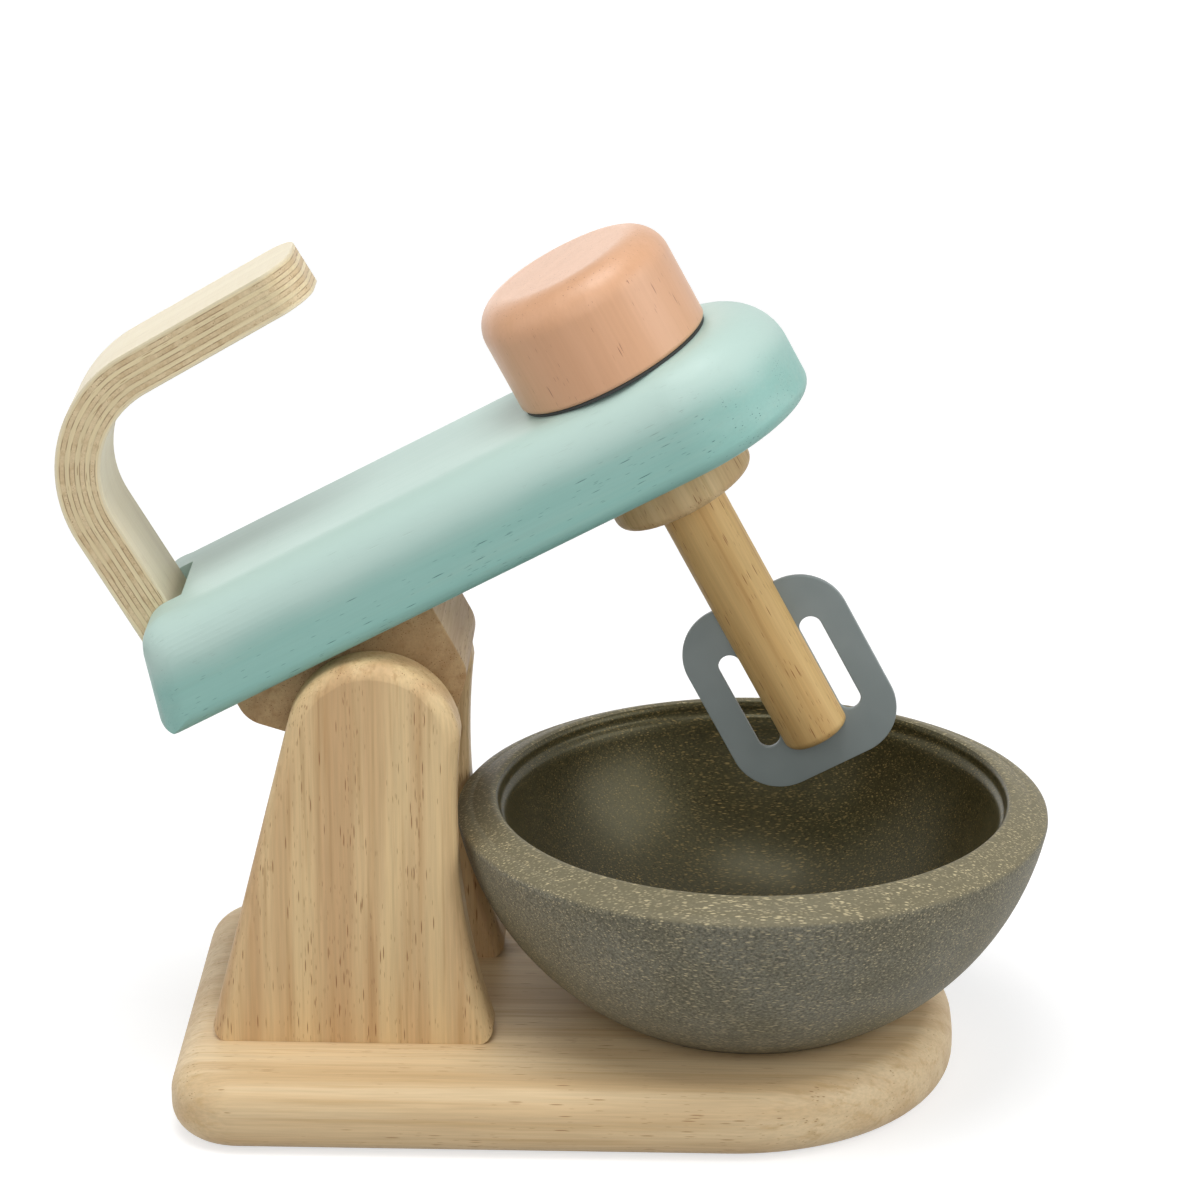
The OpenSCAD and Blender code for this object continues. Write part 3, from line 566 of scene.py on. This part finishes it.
def fleck_group():
    """Pressed fibre in metres: many fine and a few coarse flecks in all directions, a mottle and clouds."""
    group = bpy.data.node_groups.new("pressed_fibre", "ShaderNodeTree")
    group.interface.new_socket("Place", in_out="INPUT", socket_type="NodeSocketVector")
    for name in ("Flecks", "Mottle", "Clouds"):
        group.interface.new_socket(name, in_out="OUTPUT", socket_type="NodeSocketFloat")
    place = put(group, "NodeGroupInput").outputs["Place"]
    flecks = None
    fine = (620.0, 2300.0, 2300.0), 0.45, 0.6
    coarse = (380.0, 1750.0, 1750.0), 0.72, 1.0
    for (cells, rare, strength), turn in (
        (fine, (0.3, 0.2, 0.1)),
        (fine, (1.4, 0.5, 0.9)),
        (fine, (0.4, 1.3, 2.1)),
        (coarse, (2.2, 0.9, 1.6)),
        (coarse, (0.9, 2.3, 0.4)),
        (coarse, (1.9, 1.8, 2.9)),
    ):
        inputs = {"Vector": place, "Rotation": turn, "Scale": cells}
        turned = put(group, "ShaderNodeMapping", inputs, vector_type="POINT").outputs[0]
        cell = put(group, "ShaderNodeTexVoronoi", {"Vector": turned, "Scale": 1.0}).outputs
        luck = put(group, "ShaderNodeSeparateColor", {0: cell["Color"]}).outputs
        shape = span(group, cell["Distance"], 0.38, 0.16)
        bright = span(group, luck[0], rare, 1.0, 0.0, strength)
        layer = calc(group, "MULTIPLY", shape, bright)
        flecks = layer if flecks is None else calc(group, "MAXIMUM", flecks, layer)
    mottle = noise(group, place, (1300.0, 1300.0, 1300.0), 3.0, 0.6)
    clouds = noise(group, place, (28.0, 28.0, 28.0), 3.0)
    put(group, "NodeGroupOutput", {"Flecks": flecks, "Mottle": mottle, "Clouds": clouds})
    return group


pressed_fibre = fleck_group()
bowl_low, bowl_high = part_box("bowl")
bowl_centre = (bowl_low + bowl_high) / 2
bowl_r = (bowl_high.x - bowl_low.x) / 2
bowl_height = bowl_high.z - bowl_low.z
floor_height = 0.008  # of the inside, above the foot


def bowl_finish(name, tones, shine, sheen, gloss, wear_and_light, heights, most):
    """Pressed fibre in a dark and a light tone, with flecks. From one height to another it turns to a second tone,
    which covers at most a share of it: the sanded rim outside, and painted light on the floor of the inside."""
    dark, light, fleck = tones
    material, tree, shader = new_finish(name)
    own = own_place(tree)
    fibre = put(tree, "ShaderNodeGroup", {"Place": own}, node_tree=pressed_fibre)
    clouded = tint(tree, span(tree, fibre.outputs["Clouds"], 0.35, 0.65), dark, light)
    shade = span(tree, fibre.outputs["Mottle"], 0.25, 0.75, 0.55, 1.45)
    ground = shaded(tree, clouded, shade)
    height = put(tree, "ShaderNodeSeparateXYZ", {0: own}).outputs["Z"]
    ground = tint(tree, span(tree, height, *heights, 0.0, most), ground, wear_and_light)
    share = calc(tree, "MULTIPLY", fibre.outputs["Flecks"], span(tree, height, *heights, 0.75, 0.97))
    flecked = tint(tree, share, ground, fleck)
    shader.inputs["Specular IOR Level"].default_value = shine
    shader.inputs["Specular Tint"].default_value = (*sheen, 1.0)
    tree.links.new(flecked, shader.inputs["Base Color"])
    tree.links.new(span(tree, fibre.outputs["Mottle"], 0.25, 0.75, *gloss), shader.inputs["Roughness"])
    emboss(tree, shader, strength=0.25, depth=0.00012, height=fibre.outputs["Mottle"])
    return material


def arc(centre, radius, start, end, steps):
    """Points on an arc in the half section, from one angle to another, in degrees."""
    angles = [math.radians(start + (end - start) * i / steps) for i in range(steps + 1)]
    return [(centre[0] + radius * math.cos(a), centre[1] + radius * math.sin(a)) for a in angles]


def turned_piece(name, section, middle, turns):
    """Spins a half section, given as radius and height from the axis round to the axis, about a middle."""
    bpy.ops.object.select_all(action="DESELECT")
    bpy.ops.mesh.primitive_plane_add(size=0.001, location=(0.0, 0.0, 0.0))
    piece = bpy.context.object
    piece.name = name
    bpy.ops.object.mode_set(mode="EDIT")

    # One vertex to start from, drawn out along the section
    bpy.ops.mesh.select_all(action="SELECT")
    bpy.ops.mesh.merge(type="CENTER")
    bpy.ops.transform.translate(value=(middle.x + section[0][0], middle.y, middle.z + section[0][1]))
    for (r0, z0), (r1, z1) in zip(section, section[1:]):
        bpy.ops.mesh.extrude_region_move(TRANSFORM_OT_translate={"value": (r1 - r0, 0.0, z1 - z0)})
    bpy.ops.mesh.select_all(action="SELECT")
    bpy.ops.mesh.spin(steps=turns, angle=2 * math.pi, center=middle, axis=(0.0, 0.0, 1.0))
    bpy.ops.mesh.select_all(action="SELECT")
    bpy.ops.mesh.remove_doubles(threshold=WELD)
    bpy.ops.mesh.normals_make_consistent(inside=False)
    bpy.ops.object.mode_set(mode="OBJECT")
    return piece


def bowl_section():
    """Half section of the bowl, from the middle of its foot round the rim to the middle of its floor."""
    wall_r, wall_z = 0.0752, 0.0667
    rim_width, rim_rise = 0.0112, 0.0048
    step_width, step_depth = 0.0016, 0.005
    lip_r, lip_depth = 0.0021, 0.0028
    foot_edge, foot_rise, foot_flat = 0.0016, 0.0002, 0.004
    inner_r, soft_edge, steps = 0.053, 0.0012, 40
    edge_z = bowl_height - rim_rise
    mouth_r = bowl_r - rim_width
    step_z = bowl_height - step_depth
    wall_x = bowl_r - math.sqrt(wall_r**2 - (wall_z - edge_z) ** 2)
    inner_z = floor_height + inner_r
    inner_x = mouth_r - step_width - math.sqrt(inner_r**2 - (inner_z - step_z) ** 2)
    foot_angle = -math.degrees(math.asin((wall_z - soft_edge) / wall_r))
    edge_angle = -math.degrees(math.asin((wall_z - edge_z + soft_edge) / wall_r))
    foot_x = wall_x + wall_r * math.cos(math.radians(foot_angle)) - foot_edge
    foot = [(0.0, 0.0), (foot_x - foot_flat, 0.0), (foot_x, foot_rise)]
    outer = arc((wall_x, wall_z), wall_r, foot_angle, edge_angle, steps)

    # The rim from its sanded outer edge inwards, over a fine groove
    rim = [
        (bowl_r - 0.00035, edge_z - 0.0001),
        (bowl_r - 0.0009, edge_z + 0.0005),
        (bowl_r - 0.0022, edge_z + 0.00115),
        (bowl_r - 0.0038, edge_z + 0.0019),
        (bowl_r - 0.0042, edge_z + 0.00185),
        (bowl_r - 0.0046, edge_z + 0.0021),
        (bowl_r - 0.0065, edge_z + 0.003),
        (mouth_r + 0.0026, edge_z + 0.00385),
    ]
    lip = arc((mouth_r + lip_r, bowl_height - lip_depth), lip_r, 100.0, 180.0, 6)

    # The small bead on the step inside the rim
    bead = [
        (mouth_r - 0.0001, step_z + 0.001),
        (mouth_r - 0.0004, step_z + 0.0004),
        (mouth_r - 0.0009, step_z + 0.0001),
        (mouth_r - step_width + 0.0002, step_z - 0.0003),
    ]
    top_angle = math.degrees(math.asin((step_z - soft_edge - inner_z) / inner_r))
    inside = arc((inner_x, inner_z), inner_r, top_angle, -90.0, steps)
    return foot + outer + rim + lip + bead + inside + [(0.0, floor_height)]


bowl_foot = Vector((bowl_centre.x, bowl_centre.y, bowl_low.z))
bowl = turned_piece("turned_bowl", bowl_section(), bowl_foot, turns=160)
outside_tones = (0.124, 0.114, 0.075), (0.16, 0.152, 0.114), (0.66, 0.56, 0.34)
bare, oiled = (1.0, 1.0, 1.0), (1.0, 0.94, 0.62)
# The rim's tone is its sanded face. The paler floor tone is painted light, a pool of light from the lamp above.
worn_rim, painted_floor_light = (0.19, 0.165, 0.098), (0.058, 0.051, 0.031)
rim_z = bowl_high.z - 0.0056
at_rim = rim_z, rim_z + 0.0012
outside = bowl_finish(
    "bowl_outside",
    outside_tones,
    shine=0.22,
    sheen=bare,
    gloss=(0.5, 0.65),
    wear_and_light=worn_rim,
    heights=at_rim,
    most=0.75,
)
inside_tones = (0.0295, 0.0245, 0.008), (0.044, 0.0385, 0.0165), (0.3, 0.21, 0.08)
# Towards the floor of the inside the colour turns paler: painted light where the floor catches the lamp above.
floor_z = bowl_low.z + floor_height
at_floor = floor_z + 0.026, floor_z + 0.004
inside = bowl_finish(
    "bowl_inside",
    inside_tones,
    shine=0.36,
    sheen=oiled,
    gloss=(0.27, 0.37),
    wear_and_light=painted_floor_light,
    heights=at_floor,
    most=0.4,
)
bowl.data.materials.append(outside)
bowl.data.materials.append(inside)
inside_r = bowl_r - 0.0105
for face in bowl.data.polygons:
    radius = (face.center.xy - bowl_centre.xy).length
    face.material_index = 1 if face.normal.z > -0.01 and radius < inside_r else 0
bpy.ops.object.shade_smooth_by_angle(angle=math.radians(40))
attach(bowl, "bowl")
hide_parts("bowl")

# Screws
# Zinc-plated countersunk wood screws, driven from below: four through the base board into the posts,
# two through the head into the handle's leg.


def zinc_finish():
    """Zinc plate: bright, with faint clouds."""
    material, tree, shader = new_finish("zinc_plate")
    cloud = noise(tree, own_place(tree), (700.0, 700.0, 700.0), 3.0)
    tree.links.new(tint(tree, cloud, (0.55, 0.55, 0.53), (0.68, 0.69, 0.7)), shader.inputs["Base Color"])
    tree.links.new(span(tree, cloud, 0.3, 0.7, 0.25, 0.42), shader.inputs["Roughness"])
    shader.inputs["Metallic"].default_value = 1.0
    return material


zinc_plate = zinc_finish()
for screws in ("post_screws", "handle_screws"):
    finished(screws, zinc_plate, ease=0.0001, steps=2)

# Studio
# A pale matt floor that keeps a faint shadow and brightens to white away from the toy, and a white
# surround. Five soft lights stand round it, and the camera looks down at it through a long lens.


def looked_at(tree):
    """One for rays that come from the camera, straight or by a reflection, and nought for all others."""
    rays = put(tree, "ShaderNodeLightPath").outputs
    seen = calc(tree, "MAXIMUM", rays["Is Camera Ray"], rays["Is Glossy Ray"])
    return calc(tree, "MAXIMUM", seen, rays["Is Transmission Ray"])


# The floor and the surround shine only where they are looked at, and light the toy little
floor_material, floor_tree, floor_shader = new_finish("pale_floor")
floor_shader.inputs["Base Color"].default_value = (0.55, 0.55, 0.55, 1.0)
floor_shader.inputs["Roughness"].default_value = 0.9
floor_shader.inputs["Specular IOR Level"].default_value = 0.0
floor_shader.inputs["Emission Color"].default_value = (1.0, 1.0, 1.0, 1.0)
inputs = {0: own_place(floor_tree)}
away = put(floor_tree, "ShaderNodeVectorMath", inputs, operation="LENGTH").outputs["Value"]
glow = calc(floor_tree, "MULTIPLY", looked_at(floor_tree), span(floor_tree, away, 0.5, 2.0, 0.62, 1.0))
floor_tree.links.new(glow, floor_shader.inputs["Emission Strength"])
bpy.ops.object.select_all(action="DESELECT")
bpy.ops.mesh.primitive_circle_add(vertices=64, radius=6.0, fill_type="NGON", location=(0.0, 0.0, 0.0))
floor = bpy.context.object
floor.name = "floor"
floor.data.materials.append(floor_material)

world = bpy.data.worlds.new("white_surround")
bpy.context.scene.world = world
world.use_nodes = True
surround = world.node_tree
background = surround.nodes["Background"]
background.inputs["Color"].default_value = (1.0, 1.0, 1.0, 1.0)
strength = span(surround, looked_at(surround), 0.0, 1.0, 0.19, 1.0)
surround.links.new(strength, background.inputs["Strength"])

aim = Vector((0.0, 0.0, 0.09))
for name, place, size, power in (
    ("overhead", (-0.1, -0.25, 1.38), 0.7, 9.8),
    ("right_softbox", (1.1, -0.29, 0.66), 0.85, 6.4),
    ("left_reflector", (-1.2, -0.5, 0.7), 1.2, 4.4),
    ("front_fill", (0.1, -1.42, 0.82), 1.0, 5.3),
    ("back_panel", (-0.5, 1.35, 0.42), 0.9, 2.0),
):
    light = bpy.data.lights.new(name, "AREA")
    light.size = size
    light.energy = power
    lamp = bpy.data.objects.new(name, light)
    lamp.location = place
    lamp.visible_camera = False
    lamp.rotation_euler = (aim - lamp.location).to_track_quat("-Z", "Y").to_euler()
    bpy.context.scene.collection.objects.link(lamp)

camera = bpy.data.objects.new("camera", bpy.data.cameras.new("camera"))
camera.data.lens = 135.0
camera.data.sensor_width = 36.0
camera.location = (0.04467, -1.07632, 0.51815)
camera.rotation_euler = (math.radians(70.082), 0.0, math.radians(1.968))
bpy.context.scene.collection.objects.link(camera)
bpy.context.scene.camera = camera
bpy.context.scene.view_settings.view_transform = "Standard"
